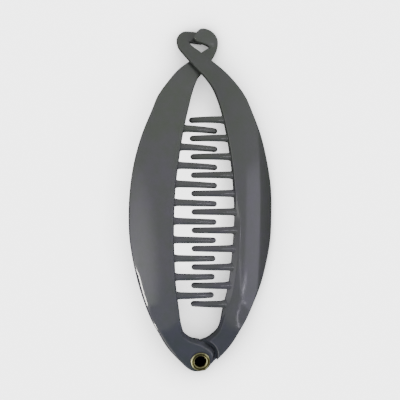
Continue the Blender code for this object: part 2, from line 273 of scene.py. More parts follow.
@dataclass(frozen=True)
class RestFrame:
    """Carries the clip's own frame to the model's frame, in which it lies on the table."""

    arch: Arch
    hinge_x: float = 0.0
    hinge_y: float = -54.7
    roll: float = 8.3
    pitch: float = -0.6

    def matrix(self, hinge: Vector) -> Matrix:
        """Matrix from millimetres in the clip's frame to metres in the model's.

        Args:
            hinge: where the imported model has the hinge.
        Returns:
            The matrix that lays the clip down.
        """
        roll = Matrix.Rotation(math.radians(self.roll), 4, "Y")
        pitch = Matrix.Rotation(math.radians(self.pitch), 4, "X")
        turn = pitch @ roll @ Matrix.Scale(MM, 4)
        own = self.arch.under(self.hinge_x, self.hinge_y, 0.0)
        return Matrix.Translation(hinge - turn @ own) @ turn

    def axis_matrix(self, hinge: Vector) -> Matrix:
        """Matrix whose Z is the hinge axis and whose zero is on the arms' outer face.

        Args:
            hinge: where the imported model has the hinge.
        Returns:
            The matrix, in millimetres under it and metres above it.
        """
        own = self.arch.under(self.hinge_x, self.hinge_y, 0.0)
        normal = self.arch.normal(self.hinge_x, self.hinge_y)
        turn = Vector((0.0, 0.0, 1.0)).rotation_difference(normal).to_matrix().to_4x4()
        return self.matrix(hinge) @ Matrix.Translation(own) @ turn


def fill_ribs(ribs: list[Rib], step: float) -> list[Rib]:
    """Fill the spans between ribs along a smooth curve through them.

    Args:
        ribs: the ribs to pass through.
        step: rough distance between the filled ribs.
    Returns:
        The ribs with those between them.
    """
    rows = [rib.row() for rib in ribs]
    spans = [(a.middle() - b.middle()).length for a, b in zip(ribs, ribs[1:])]
    slopes = [(b - a) / span for a, b, span in zip(rows, rows[1:], spans)]
    tangents = [slopes[0]]
    for index in range(1, len(rows) - 1):
        before, after = spans[index - 1], spans[index]
        tangents.append((slopes[index - 1] * after + slopes[index] * before) / (before + after))
    tangents.append(slopes[-1])
    filled = []
    for index, span in enumerate(spans):
        count = max(2, round(span / step))
        for part in range(count):
            t = part / count
            point = rows[index] * (2 * t ** 3 - 3 * t ** 2 + 1)
            point += rows[index + 1] * (3 * t ** 2 - 2 * t ** 3)
            point += tangents[index] * span * (t ** 3 - 2 * t ** 2 + t)
            point += tangents[index + 1] * span * (t ** 3 - t ** 2)
            filled.append(Rib(*point))
    filled.append(ribs[-1])
    return filled


def loft(outlines: list[list[Vector]]) -> Mesh:
    """Closed mesh through a row of outlines with equal point counts."""
    mesh = bmesh.new()
    rings = [[mesh.verts.new(point) for point in outline] for outline in outlines]
    for ring, following in zip(rings, rings[1:]):
        for index, vertex in enumerate(ring):
            beside = (index + 1) % len(ring)
            mesh.faces.new((vertex, ring[beside], following[beside], following[index]))
    for ring in (rings[0], rings[-1]):
        centre = sum((vertex.co for vertex in ring), Vector()) / len(ring)
        hub = mesh.verts.new(centre)
        for index, vertex in enumerate(ring):
            mesh.faces.new((vertex, ring[(index + 1) % len(ring)], hub))
    bmesh.ops.recalc_face_normals(mesh, faces=mesh.faces)
    return mesh


def linked(name: str, data: bpy.types.ID) -> Piece:
    """Object of some data, linked to the scene."""
    thing = bpy.data.objects.new(name, data)
    bpy.context.scene.collection.objects.link(thing)
    return thing


def new_object(name: str, mesh: Mesh, place: Matrix) -> Piece:
    """Object at the origin whose mesh carries its place.

    Args:
        name: the object's name.
        mesh: its shape, which is used up.
        place: matrix from the shape's frame to the model's.
    Returns:
        The linked object.
    """
    bmesh.ops.transform(mesh, matrix=place, verts=mesh.verts)
    data = bpy.data.meshes.new(name)
    mesh.to_mesh(data)
    mesh.free()
    return linked(name, data)


def settle(piece: Piece) -> None:
    """Turn a piece's modifiers into a plain mesh."""
    graph = bpy.context.evaluated_depsgraph_get()
    graph.update()
    shown = piece.evaluated_get(graph)
    data = bpy.data.meshes.new_from_object(shown, preserve_all_data_layers=True, depsgraph=graph)
    piece.modifiers.clear()
    old = piece.data
    piece.data = data
    bpy.data.meshes.remove(old)
    data.name = piece.name


def combine(piece: Piece, tool: Piece, operation: str) -> None:
    """Join or cut a piece with a helper, which is used up.

    Args:
        piece: the piece to change.
        tool: the helper body.
        operation: UNION or DIFFERENCE.
    """
    modifier = piece.modifiers.new("combine", "BOOLEAN")
    modifier.operation = operation
    modifier.solver = "EXACT"
    modifier.object = tool
    settle(piece)
    data = tool.data
    bpy.data.objects.remove(tool)
    bpy.data.meshes.remove(data)


class Nodes:
    """Short way to add and link nodes in a tree."""

    def __init__(self, tree: bpy.types.NodeTree) -> None:
        """Keep the tree to fill."""
        self.tree = tree

    def add(self, kind: str, links: dict | None = None, **values: object) -> bpy.types.Node:
        """Add a node.

        Args:
            kind: the node's type.
            links: input name or number to an output socket or a value.
            values: properties of the node itself.
        Returns:
            The node.
        """
        node = self.tree.nodes.new(kind)
        for name, value in values.items():
            setattr(node, name, value)
        self.feed(node, links or {})
        return node

    def feed(self, node: bpy.types.Node, links: dict) -> None:
        """Link or set a node's inputs, by name or number."""
        for key, source in links.items():
            if isinstance(source, Socket):
                self.tree.links.new(source, node.inputs[key])
            else:
                node.inputs[key].default_value = source

    def take(self, kind: str, output: str, links: dict | None = None, **values: object) -> Socket:
        """Add a node, and give one of its outputs."""
        return self.add(kind, links, **values).outputs[output]

    def math(self, operation: str, *terms: object) -> Socket:
        """Add a sum on numbers, and give its result."""
        return self.take("ShaderNodeMath", "Value", dict(enumerate(terms)), operation=operation)

    def vector(self, operation: str, *terms: object, output: str = "Vector") -> Socket:
        """Add a sum on vectors, and give one of its outputs."""
        links = dict(enumerate(terms))
        return self.take("ShaderNodeVectorMath", output, links, operation=operation)

    def noise(self, place: Socket, scale: float, detail: float, rough: float = 0.5) -> Socket:
        """Add a noise, and give its share from 0 to 1."""
        return self.take("ShaderNodeTexNoise", "Fac", {
            "Vector": place, "Scale": scale, "Detail": detail, "Roughness": rough})

    def remap(self, value: Socket, start: tuple, end: tuple = (0.0, 1.0),
              **values: object) -> Socket:
        """Carry a value from the range at the start to the range at the end."""
        return self.take("ShaderNodeMapRange", "Result", {
            "Value": value, "From Min": start[0], "From Max": start[1],
            "To Min": end[0], "To Max": end[1],
        }, **values)

    def bump(self, height: Socket, distance: float, strength: float = 1.0,
             **links: Socket) -> Socket:
        """Add a bump, and give its normal."""
        return self.take("ShaderNodeBump", "Normal", {"Height": height, "Strength": strength,
                                                      "Distance": distance, **links})

    def ramp(self, share: Socket, stops: tuple) -> Socket:
        """Add a colour ramp, and give its colour.

        Args:
            share: the place on the ramp.
            stops: position and colour of each stop, from low to high.
        Returns:
            The colour.
        """
        node = self.add("ShaderNodeValToRGB", {"Fac": share})
        elements = node.color_ramp.elements
        while len(elements) < len(stops):
            elements.new(1.0)
        for element, (position, colour) in zip(elements, stops):
            element.position = position
            element.color = colour
        return node.outputs["Color"]


def new_material(name: str) -> tuple[Material, Nodes, bpy.types.Node]:
    """Material, the short way to add its nodes, and its shader."""
    material = bpy.data.materials.new(name)
    material.use_nodes = True
    return material, Nodes(material.node_tree), material.node_tree.nodes["Principled BSDF"]


@dataclass(frozen=True)
class PlasticFinish:
    """Glossy moulded plastic: dark grey, greener towards the hooks and bluer towards the hinge."""

    greys: tuple = ((0.0, (0.044, 0.047, 0.056, 1.0)), (0.42, (0.052, 0.052, 0.058, 1.0)),
                    (0.8, (0.047, 0.052, 0.046, 1.0)))
    mottle_scale: float = 55.0
    mottle_share: float = 0.4
    tints: tuple = ((0.38, (0.95, 1.0, 0.9, 1.0)), (0.62, (1.04, 0.99, 1.09, 1.0)))
    tint_scale: float = 190.0
    rub_scale: float = 275.0
    rub_range: tuple = (0.3, 0.75)
    roughness: tuple = (0.07, 0.15)
    wave_scale: float = 70.0
    wave_height: float = 0.00005
    grain_scale: float = 2600.0
    grain_height: float = 0.000002
    ior: float = 1.5

    def build(self, name: str, length: float) -> Material:
        """Make the material.

        Args:
            name: the material's name.
            length: the clip's length in metres, over which the grey changes.
        Returns:
            The material.
        """
        material, nodes, shader = new_material(name)
        place = nodes.take("ShaderNodeTexCoord", "Object")
        height = nodes.take("ShaderNodeSeparateXYZ", "Y", {"Vector": place})
        along = nodes.remap(height, (-length / 2.0, length / 2.0))
        mottle = nodes.noise(place, self.mottle_scale, 3.0)
        shift = nodes.math("MULTIPLY_ADD", mottle, self.mottle_share * 2.0, -self.mottle_share)
        grey = nodes.ramp(nodes.math("ADD", along, shift), self.greys)
        tint = nodes.ramp(nodes.noise(place, self.tint_scale, 3.0, 0.6), self.tints)
        rubbed = nodes.noise(place, self.rub_scale, 5.0, 0.65)
        wave = nodes.bump(nodes.noise(place, self.wave_scale, 1.0), self.wave_height)
        grain = nodes.noise(place, self.grain_scale, 2.0)
        nodes.feed(shader, {
            "IOR": self.ior,
            "Base Color": nodes.vector("MULTIPLY", grey, tint),
            "Roughness": nodes.remap(rubbed, self.rub_range, self.roughness),
            "Normal": nodes.bump(grain, self.grain_height, Normal=wave),
        })
        return material


@dataclass(frozen=True)
class BrassFinish:
    """Aged brass in rings, with painted light: the pale bead and gold funnel carry a painted
    highlight, the olive groove and dark hole carry painted shade, and a ramp across X paints the
    side lit from the left.
    """

    # The ring colours paint light: pale and gold are painted highlights, olive, brown and dark are
    # painted shade.
    pale: tuple = (0.7, 0.69, 0.36, 1.0)
    gold: tuple = (0.6, 0.58, 0.3, 1.0)
    olive: tuple = (0.1, 0.09, 0.017, 1.0)
    brown: tuple = (0.05, 0.04, 0.007, 1.0)
    dark: tuple = (0.03, 0.01, 0.014, 1.0)
    ring_range: tuple = (1.3, 3.5)
    ring_wobble: float = 0.12
    # Brightness across X: painted highlight on the bead's left and the funnel's right, painted
    # shade between them and at the right rim.
    wear: tuple = ((0.03, 1.0), (0.13, 0.75), (0.2, 0.3), (0.5, 0.27), (0.7, 0.36), (0.78, 0.75),
                   (0.85, 0.7), (0.92, 0.2))
    wear_range: tuple = (-3.4, 3.4)
    stain_scale: float = 1100.0
    stain_range: tuple = (0.3, 0.7)
    roughness: tuple = (0.22, 0.42)
    stain_strength: float = 0.25
    stain_height: float = 0.00008

    def rings(self) -> tuple:
        """Place and colour of each ring, from the hole outwards: painted shade in the hole, on the
        funnel's foot, in the groove and at the rim, and painted highlight on the funnel and the
        bead.
        """
        return ((0.0, self.dark), (0.09, self.dark), (0.15, self.brown), (0.29, self.brown),
                (0.36, self.gold), (0.47, self.gold), (0.54, self.olive), (0.68, self.olive),
                (0.76, self.pale), (0.87, self.pale), (0.95, self.brown))

    def build(self, name: str, axis: Matrix) -> Material:
        """Make the material.

        Args:
            name: the material's name.
            axis: matrix whose Z is the eyelet's axis.
        Returns:
            The material.
        """
        material, nodes, shader = new_material(name)
        place = nodes.take("ShaderNodeTexCoord", "Object")
        inverse = axis.inverted()
        own = nodes.take("ShaderNodeMapping", "Vector", {
            "Vector": place, "Location": inverse.to_translation(),
            "Rotation": inverse.to_euler("XYZ"), "Scale": inverse.to_scale()})
        flat = nodes.vector("MULTIPLY", own, (1.0, 1.0, 0.0))
        stain = nodes.noise(place, self.stain_scale, 5.0, 0.65)
        wobble = nodes.math("MULTIPLY_ADD", stain, self.ring_wobble * 2.0, -self.ring_wobble)
        radius = nodes.math("ADD", nodes.vector("LENGTH", flat, output="Value"), wobble)
        colour = nodes.ramp(nodes.remap(radius, self.ring_range), self.rings())
        # Painted light across X on top of the rings: brighter on the bead's left and the funnel's
        # right, darker elsewhere.
        side = nodes.take("ShaderNodeSeparateXYZ", "X", {"Vector": own})
        painted_light = nodes.ramp(nodes.remap(side, self.wear_range),
                          tuple((spot, (share, share, share, 1.0)) for spot, share in self.wear))
        nodes.feed(shader, {
            "Base Color": nodes.vector("MULTIPLY", colour, painted_light),
            "Roughness": nodes.remap(stain, self.stain_range, self.roughness),
            "Normal": nodes.bump(stain, self.stain_height, self.stain_strength),
            "Metallic": 1.0,
        })
        return material


@dataclass(frozen=True)
class TeethTree:
    """Geometry Nodes tree that sweeps a rounded bar along every tooth's path."""

    corner_radius: float = 0.85
    corner_steps: int = 6
    width_name: str = "half_width"
    flat_name: str = "flatness"

    def build(self) -> tuple[bpy.types.NodeTree, dict[str, str]]:
        """Make the tree.

        Returns:
            The tree, and the identifier of each input by its name.
        """
        tree = bpy.data.node_groups.new("comb_teeth", "GeometryNodeTree")
        face = tree.interface
        for name, kind in (("Geometry", "Geometry"), ("Corner Radius", "Float"),
                           ("Corner Steps", "Int"), ("Finish", "Material")):
            face.new_socket(name, in_out="INPUT", socket_type=f"NodeSocket{kind}")
        face.new_socket("Geometry", in_out="OUTPUT", socket_type="NodeSocketGeometry")
        names = {item.name: item.identifier for item in face.items_tree if item.in_out == "INPUT"}
        nodes = Nodes(tree)
        given = nodes.add("NodeGroupInput").outputs
        path = nodes.take("GeometryNodeMeshToCurve", "Curve", {"Mesh": given["Geometry"]})
        upright = nodes.take("GeometryNodeSetCurveNormal", "Curve", {"Curve": path}, mode="Z_UP")
        keep = nodes.add("GeometryNodeCaptureAttribute", {"Geometry": upright})
        keep.capture_items.new("VECTOR", "Centre")
        place = nodes.take("GeometryNodeInputPosition", "Position")
        nodes.feed(keep, {"Centre": place})
        centre = keep.outputs["Centre"]
        square = nodes.take("GeometryNodeCurvePrimitiveQuadrilateral", "Curve",
                            {"Width": 2.0, "Height": 2.0})
        bar = nodes.take("GeometryNodeFilletCurve", "Curve", {
            "Curve": square, "Count": given["Corner Steps"],
            "Radius": given["Corner Radius"]}, mode="POLY")
        width, flatness = (
            nodes.take("GeometryNodeInputNamedAttribute", "Attribute", {"Name": name})
            for name in (self.width_name, self.flat_name))
        sweep = nodes.take("GeometryNodeCurveToMesh", "Mesh", {
            "Curve": keep.outputs["Geometry"], "Profile Curve": bar,
            "Scale": width, "Fill Caps": True})
        squash = nodes.take("ShaderNodeCombineXYZ", "Vector", {"X": 1.0, "Y": 1.0, "Z": flatness})
        pressed = nodes.vector("MULTIPLY", nodes.vector("SUBTRACT", place, centre), squash)
        shape = nodes.take("GeometryNodeSetPosition", "Geometry", {
            "Geometry": sweep, "Position": nodes.vector("ADD", centre, pressed)})
        for kind, links in (("SetShadeSmooth", {}), ("RealizeInstances", {}),
                            ("SetMaterial", {"Material": given["Finish"]})):
            shape = nodes.take(f"GeometryNode{kind}", "Geometry", {"Geometry": shape, **links})
        nodes.add("NodeGroupOutput", {"Geometry": shape})
        return tree, names


@dataclass
class Comb:
    """The row of teeth on one arm."""

    side: Side
    count: int
    heights: tuple
    slants: tuple
    reaches: tuple
    root_depth: float = 1.7
    tip_drop: float = 2.4
    sunk: float = 0.55
    half_widths: tuple = (1.25, 0.98)
    half_heights: tuple = (0.74, 0.68)
    flare: float = 0.2
    flare_length: float = 0.5
    round_length: float = 1.15
    tip_squash: float = 0.6
    least_shrink: float = 0.02
    steps: int = 44

    def inner_edge(self, y: float) -> float:
        """Where the arm's inner edge is at height y."""
        for low, high in zip(BLADE, BLADE[1:]):
            if low.y <= y <= high.y:
                share = (y - low.y) / (high.y - low.y)
                return low.inner(self.side) * (1.0 - share) + high.inner(self.side) * share
        raise ValueError("a tooth must start on the blade")

    def blend(self, values: tuple, index: int) -> float:
        """Value of a tooth between those of the first and the last one."""
        first, last = values
        return first + (last - first) * index / (self.count - 1)

    def path(self, index: int, arch: Arch) -> list[tuple[Vector, float, float]]:
        """Path of one tooth.

        Args:
            index: which tooth, from the hooks to the hinge.
            arch: the surface that the teeth follow.
        Returns:
            Each step's centre, half width and ratio of height to width.
        """
        y, slant, reach = (self.blend(values, index)
                           for values in (self.heights, self.slants, self.reaches))
        sign = self.side.value
        root_x = self.inner_edge(y) + sign * self.sunk
        tip_x = -sign * reach
        length = abs(tip_x - root_x)
        rows = []
        for step in range(self.steps + 1):
            share = math.sin(math.pi / 2.0 * step / self.steps)
            x = root_x + (tip_x - root_x) * share
            left = length * (1.0 - share)
            round_share = max(1.0 - left / self.round_length, 0.0)
            shrink = math.sqrt(max(1.0 - round_share ** 2, self.least_shrink ** 2))
            past = max(share * length - self.sunk, 0.0)
            flare = self.flare * math.exp(-((past / self.flare_length) ** 2))
            width, height = (root + (tip - root) * share
                             for root, tip in (self.half_widths, self.half_heights))
            depth = self.root_depth + self.tip_drop * share ** 2
            centre = arch.under(x, y - sign * slant * x, depth)
            ratio = height / (width + flare) / shrink ** self.tip_squash
            rows.append((centre, (width + flare) * shrink, ratio))
        return rows

    def build(self, arch: Arch, place: Matrix, tree: TeethTree, finish: Material) -> Piece:
        """Make all teeth as one plain mesh of closed bars.

        Args:
            arch: the surface that the teeth follow.
            place: matrix from the clip's frame to the model's.
            tree: the sweep.
            finish: the plastic.
        Returns:
            The teeth.
        """
        rows = [row for index in range(self.count) for row in self.path(index, arch)]
        size = self.steps + 1
        edges = [(start + step, start + step + 1) for start in range(0, len(rows), size)
                 for step in range(self.steps)]
        data = bpy.data.meshes.new("teeth_paths")
        data.from_pydata([place @ centre for centre, _, _ in rows], edges, [])
        for name, values in ((tree.width_name, [width * MM for _, width, _ in rows]),
                             (tree.flat_name, [ratio for _, _, ratio in rows])):
            data.attributes.new(name, "FLOAT", "POINT").data.foreach_set("value", values)
        teeth = linked(f"{self.side.word}_teeth", data)
        group, names = tree.build()
        modifier = teeth.modifiers.new("sweep", "NODES")
        modifier.node_group = group
        modifier[names["Corner Radius"]] = tree.corner_radius
        modifier[names["Corner Steps"]] = tree.corner_steps
        modifier[names["Finish"]] = finish
        settle(teeth)
        return teeth


@dataclass
class HingeLap:
    """The half lap in which the left arm's eye lies over the right arm's tongue."""

    eye_room: float = 7.1
    shoulder_radius: float = 5.85
    shoulder_centre: tuple = (0.1, 1.85, 0.0)
    eye_thick: float = 1.7
    play: float = 0.3
    reach: float = 6.0
    bore_radius: float = 2.2
    chamfer_width: float = 0.36
    chamfer_depth: float = 0.18
    chamfer_lead: tuple = (0.03, 0.06)
    sides: int = 160

    def cutter(self, side: Side, axis: Matrix) -> Piece:
        """Body that cuts away the half of an arm that the other one fills.

        Args:
            side: the arm to cut.
            axis: matrix whose Z is the hinge axis.
        Returns:
            The cutter, flared where it leaves the arm so that the edge gets a mild chamfer.
        """
        if side is Side.LEFT:
            start, face, sense = self.eye_thick, HINGE_THICK, 1.0
            inner, centre = self.eye_room, axis
        else:
            start, face, sense = self.eye_thick + self.play, 0.0, -1.0
            inner, centre = self.shoulder_radius, axis @ Matrix.Translation(self.shoulder_centre)
        outer, depth = inner + self.chamfer_width, self.chamfer_depth
        lead, lead_depth = self.chamfer_lead
        end = face + sense * self.reach
        rows = [(0.0, start), (inner, start), (inner, face - sense * (depth + lead_depth)),
                (inner + lead, face - sense * depth), (outer, face), (outer, end), (0.0, end)]
        return new_object(f"{side.word}_lap", solid_of_turning(rows, self.sides), centre)

    def bore(self, side: Side, axis: Matrix) -> Piece:
        """Body that bores an arm for the eyelet."""
        low, high = -self.reach, HINGE_THICK + self.reach
        rows = [(0.0, low), (self.bore_radius, low), (self.bore_radius, high), (0.0, high)]
        return new_object(f"{side.word}_bore", solid_of_turning(rows, self.sides // 2), axis)


def solid_of_turning(rows: list[tuple[float, float]], sides: int) -> Mesh:
    """Closed solid turned round Z, from a pole to a pole.

    Args:
        rows: radius and depth of each corner; the first and last lie on the axis.
        sides: steps round the axis.
    Returns:
        The solid.
    """
    mesh = bmesh.new()
    first = mesh.verts.new((0.0, 0.0, -rows[0][1]))
    last = mesh.verts.new((0.0, 0.0, -rows[-1][1]))
    rings = []
    for radius, depth in rows[1:-1]:
        ring = []
        for side in range(sides):
            angle = 2.0 * math.pi * side / sides
            point = (radius * math.cos(angle), radius * math.sin(angle), -depth)
            ring.append(mesh.verts.new(point))
        rings.append(ring)
    for side in range(sides):
        beside = (side + 1) % sides
        mesh.faces.new((rings[0][side], rings[0][beside], first))
        mesh.faces.new((rings[-1][side], rings[-1][beside], last))
        for ring, following in zip(rings, rings[1:]):
            mesh.faces.new((ring[side], ring[beside], following[beside], following[side]))
    bmesh.ops.recalc_face_normals(mesh, faces=mesh.faces)
    return mesh


@dataclass
class Arm:
    """One moulded arm: blade, hook, hinge end and comb in one piece."""

    side: Side
    comb: Comb
    arch: Arch
    lap: HingeLap
    edge_radius: float = 0.4
    outer_round: float = 0.6
    hook_loss: Swell = Swell(0.82, 26.0, 10.0)
    broad_width: float = 0.95
    broad_depth: float = 0.42
    broad_bulge: float = 0.16
    edge_steps: int = 8
    face_columns: int = 18
    crease: float = 0.1
    crease_drop: float = 0.1
    foot_turn: tuple = ((1.0, 1.0), (0.3, 0.2), (0.0, -0.5))
    lip_width: float = 0.03
    lip_slope: float = 0.5
    bevel_share: float = 0.7
    bevel_slope: float = 1.7
    flare_slope: float = 1.35
    round_share: float = 0.45
    edge_share: float = 0.4
    lip_share: float = 0.2
    rib_step: float = 0.8
    sharp_angle: float = 40.0

    def bevel(self, y: float) -> tuple[float, float]:
        """How wide the inner edge's bevel is at height y.

        Args:
            y: height of the rib's inner end.
        Returns:
            Its width inside the edge, and how far its foot stands out past the edge, as on the eye.
        """
        edge = EDGES[self.side]
        return sum((swell.at(y) for swell in edge.bevel), edge.bevel_width), edge.flare.at(y)

    def outer_edge(self, y: float) -> tuple[float, float, float]:
        """How the outer edge is rounded at height y.

        Args:
            y: height of the rib's outer end.
        Returns:
            The rounding's width and depth, and how far it stands out, as low on the left arm.
        """
        plain = self.outer_round * (1.0 - self.hook_loss.at(y))
        broad = EDGES[self.side].broad.at(y)
        return (plain + self.broad_width * broad, plain + self.broad_depth * broad,
                self.broad_bulge * broad)

    def section(self, rib: Rib, width: float) -> list[tuple[float, float]]:
        """Closed section across the arm.

        Args:
            rib: where the section is.
            width: distance between its edges.
        Returns:
            Distance from the outer edge and depth of each point.
        """
        radius = min(self.edge_radius, self.round_share * width, self.round_share * rib.thick)
        wide, deep, out = self.outer_edge(rib.outer_y)
        wide, deep = min(wide, self.edge_share * width), min(deep, self.round_share * rib.thick)
        bevel, flare = self.bevel(rib.inner_y)
        bevel = min(bevel, self.edge_share * width)
        drop = self.bevel_slope * bevel + self.flare_slope * flare
        drop = min(drop, self.bevel_share * rib.thick)
        crease = min(self.crease, self.edge_share * bevel)
        lip = min(self.lip_width + EDGES[self.side].lip.at(rib.inner_y), self.lip_share * width)
        sag = self.crease_drop * crease
        fall = sag + self.lip_slope * lip
        start, foot = width - bevel, width + flare
        quarter = arc(90.0, self.edge_steps)
        points = [(wide - (wide + out) * math.cos(angle), deep - deep * math.sin(angle))
                  for angle in quarter]
        span = start - lip - crease - wide
        points += [(wide + span * (column + 1) / self.face_columns, 0.0)
                   for column in range(self.face_columns)]
        points += [(start - lip, sag), (start, fall),
                   (start + crease, fall + crease * drop / (bevel + flare))]
        points += [(foot - back * crease, drop - up * crease) for back, up in self.foot_turn]
        level = rib.thick - radius
        points += [(foot - radius + radius * math.cos(angle), level + radius * math.sin(angle))
                   for angle in quarter]
        under = foot - 2.0 * radius
        points += [(foot - radius - under * column / self.face_columns, rib.thick)
                   for column in range(1, self.face_columns)]
        points += [(radius - radius * math.sin(angle), level + radius * math.cos(angle))
                   for angle in quarter]
        return points

    def outline(self, rib: Rib) -> list[Vector]:
        """Closed outline across the arm, on the arch."""
        outer = Vector((rib.outer_x, rib.outer_y))
        inner = Vector((rib.inner_x, rib.inner_y))
        width = (inner - outer).length
        points = []
        for across, down in self.section(rib, width):
            plan = outer.lerp(inner, across / width)
            points.append(self.arch.under(plan.x, plan.y, rib.depth + down))
        return points

    def build(self, place: Matrix, axis: Matrix, finish: Material) -> Piece:
        """Make the arm.

        Args:
            place: matrix from the clip's frame to the model's.
            axis: matrix whose Z is the hinge axis.
            finish: the plastic.
        Returns:
            The finished arm.
        """
        ribs = list(HINGE_ENDS[self.side]) + [rib.on(self.side) for rib in BLADE]
        ribs += list(HOOK_ENDS[self.side])
        outlines = [self.outline(rib) for rib in fill_ribs(ribs, self.rib_step)]
        arm = new_object(f"{self.side.word}_arm_moulding", loft(outlines), place)
        arm.data.materials.append(finish)
        combine(arm, self.comb.build(self.arch, place, TeethTree(), finish), "UNION")
        combine(arm, self.lap.cutter(self.side, axis), "DIFFERENCE")
        combine(arm, self.lap.bore(self.side, axis), "DIFFERENCE")
        arm.data.shade_smooth()
        arm.data.set_sharp_from_angle(angle=math.radians(self.sharp_angle))
        return arm

    def dress(self, arm: Piece) -> None:
        """Tie the arm to its body, and hide the model's own arm that it stands in for."""
        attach(arm, f"{self.side.word}_half")
        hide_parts(f"{self.side.word}_arm")


@dataclass
class Eyelet:
    """Turned brass eyelet: rolled flange and funnel in front, closed domed head at the back."""

    barrel_radius: float = 1.9
    hole_radius: float = 1.45
    flange_radius: float = 3.35
    bead_radius: float = 0.36
    bead_height: float = 0.46
    bead_sweep: float = 145.0
    crest_radius: float = 2.46
    crest_round: float = 0.45
    funnel_slope: float = 52.0
    groove_drop: float = 0.13
    groove_wall: tuple = ((0.2, -0.02), (0.1, 0.07))
    crest_rise: float = 0.09
    funnel_end: tuple = (0.05, 0.92, 0.1)
    hole_depth: float = 3.2
    hole_corner: tuple = (0.25, 0.3)
    head_corner: tuple = (0.5, 0.1)
    head_radius: float = 1.2
    head_rises: tuple = (0.06, 0.08)
    round_steps: int = 7
    seat: float = 0.06
    sides: int = 128
    sharp_angle: float = 50.0

    def face(self) -> list[tuple[float, float]]:
        """Radius and height along the flange's front: bead, groove, crest and funnel."""
        bead = self.flange_radius - self.bead_radius
        points = [(self.flange_radius, 0.0)]
        points += [(bead + self.bead_radius * math.cos(angle),
                    self.bead_height - self.bead_radius + self.bead_radius * math.sin(angle))
                   for angle in arc(self.bead_sweep, self.round_steps)]
        height = self.bead_height - self.groove_drop
        points += [(self.crest_radius + out, height + up) for out, up in self.groove_wall]
        points += [(self.crest_radius - self.crest_round * math.sin(angle),
                    height + self.crest_rise - self.crest_round * (1.0 - math.cos(angle)))
                   for angle in arc(self.funnel_slope, self.round_steps)]
        radius, last = points[-1]
        fall = (radius - self.hole_radius) * math.tan(math.radians(self.funnel_slope))
        out, share, below = self.funnel_end
        return points + [(self.hole_radius + out, last - share * fall),
                         (self.hole_radius, last - fall - below)]

    def build(self, axis: Matrix, finish: Material) -> Piece:
        """Make the eyelet.

        Args:
            axis: matrix whose Z is the hinge axis.
            finish: the brass.
        Returns:
            The eyelet.
        """
        front = [(radius, -self.seat - height) for radius, height in reversed(self.face())]
        back = HINGE_THICK + self.seat
        in_corner, up_corner = self.hole_corner
        rows = [(0.0, self.hole_depth), (self.hole_radius - in_corner, self.hole_depth),
                (self.hole_radius, self.hole_depth - up_corner)] + front
        rows += [(self.barrel_radius, -self.seat), (self.barrel_radius, back),
                 (self.flange_radius, back)]
        round_width, rim = self.head_corner
        rows += [(self.flange_radius - round_width * (1.0 - math.cos(angle)),
                  back + rim + (self.bead_height - rim) * math.sin(angle))
                 for angle in arc(90.0, self.round_steps)]
        rows += [(radius, back + self.bead_height + rise)
                 for radius, rise in zip((self.head_radius, 0.0), self.head_rises)]
        eyelet = new_object("brass_eyelet", solid_of_turning(rows, self.sides), axis)
        eyelet.data.materials.append(finish)
        eyelet.data.shade_smooth()
        eyelet.data.set_sharp_from_angle(angle=math.radians(self.sharp_angle))
        return eyelet

    def dress(self, eyelet: Piece) -> None:
        """Tie the eyelet to its body, and hide the model's own eyelet that it stands in for."""
        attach(eyelet, "left_half")
        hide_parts("hinge_eyelet")


@dataclass(frozen=True)
class SkyPanel:
    """A soft bright or dark patch in the sky, given by its bearing from +X and its height."""

    bearing: float
    height: float
    spread: float
    strength: float
    tint: tuple = (1.0, 1.0, 1.0)

    def direction(self) -> Vector:
        """Unit vector to the middle of the patch."""
        bearing, height = math.radians(self.bearing), math.radians(self.height)
        level = math.cos(height)
        return Vector((math.cos(bearing) * level, math.sin(bearing) * level, math.sin(height)))


@dataclass(frozen=True)
class SkyWindow:
    """A flat window or strip light in the studio's sky, between two directions."""

    start: tuple
    end: tuple
    half_width: float
    strength: float
    soft: float = 1.0
    tint: tuple = (1.0, 1.0, 1.0)
    least_depth: float = 0.05

    def frame(self) -> tuple[Vector, Vector, Vector, float]:
        """Its middle, long and cross directions, and half its length as a tangent."""
        first = SkyPanel(*self.start, 1.0, 1.0).direction()
        last = SkyPanel(*self.end, 1.0, 1.0).direction()
        middle = (first + last).normalized()
        along = (last - first).normalized()
        return middle, along, middle.cross(along), math.tan(first.angle(last) / 2.0)

    def add(self, nodes: Nodes, look: Socket) -> Socket:
        """Add the nodes that find how much of the window a direction sees.

        Args:
            nodes: the world's nodes.
            look: the direction.
        Returns:
            The share, from 0 to 1.
        """
        middle, along, across, half_length = self.frame()
        depth = nodes.vector("DOT_PRODUCT", look, middle, output="Value")
        result = nodes.math("GREATER_THAN", depth, self.least_depth)
        soft = math.tan(math.radians(self.soft))
        half_width = math.tan(math.radians(self.half_width))
        for direction, half in ((along, half_length), (across, half_width)):
            reach = nodes.vector("DOT_PRODUCT", look, direction, output="Value")
            slope = nodes.math("ABSOLUTE", nodes.math("DIVIDE", reach, depth))
            inside = nodes.remap(slope, (half + soft, max(half - soft, 0.0)))
            result = nodes.math("MULTIPLY", result, inside)
        return result


@dataclass(frozen=True)
class SoftLight:
    """A rectangular studio light aimed at a point."""

    name: str
    place: tuple
    aim: tuple
    size: tuple
    power: float
    tint: tuple = (1.0, 1.0, 1.0)
    glint_on: str = ""

    def build(self) -> None:
        """Hang the light, as a soft fill without a glint or as a glint on one piece alone."""
        lamp = bpy.data.lights.new(self.name, "AREA")
        lamp.shape = "RECTANGLE"
        lamp.size, lamp.size_y = self.size
        lamp.energy = self.power
        lamp.color = self.tint
        light = linked(self.name, lamp)
        light.location = self.place
        light.visible_camera = False
        light.visible_glossy = bool(self.glint_on)
        light.visible_diffuse = not self.glint_on
        if self.glint_on:
            lit = bpy.data.collections.new(f"{self.name}_lights")
            lit.objects.link(bpy.data.objects[self.glint_on])
            light.light_linking.receiver_collection = lit
        direction = Vector(self.aim) - Vector(self.place)
        light.rotation_euler = direction.to_track_quat("-Z", "Y").to_euler()


COOL_TINT = (1.0, 0.95, 1.1)


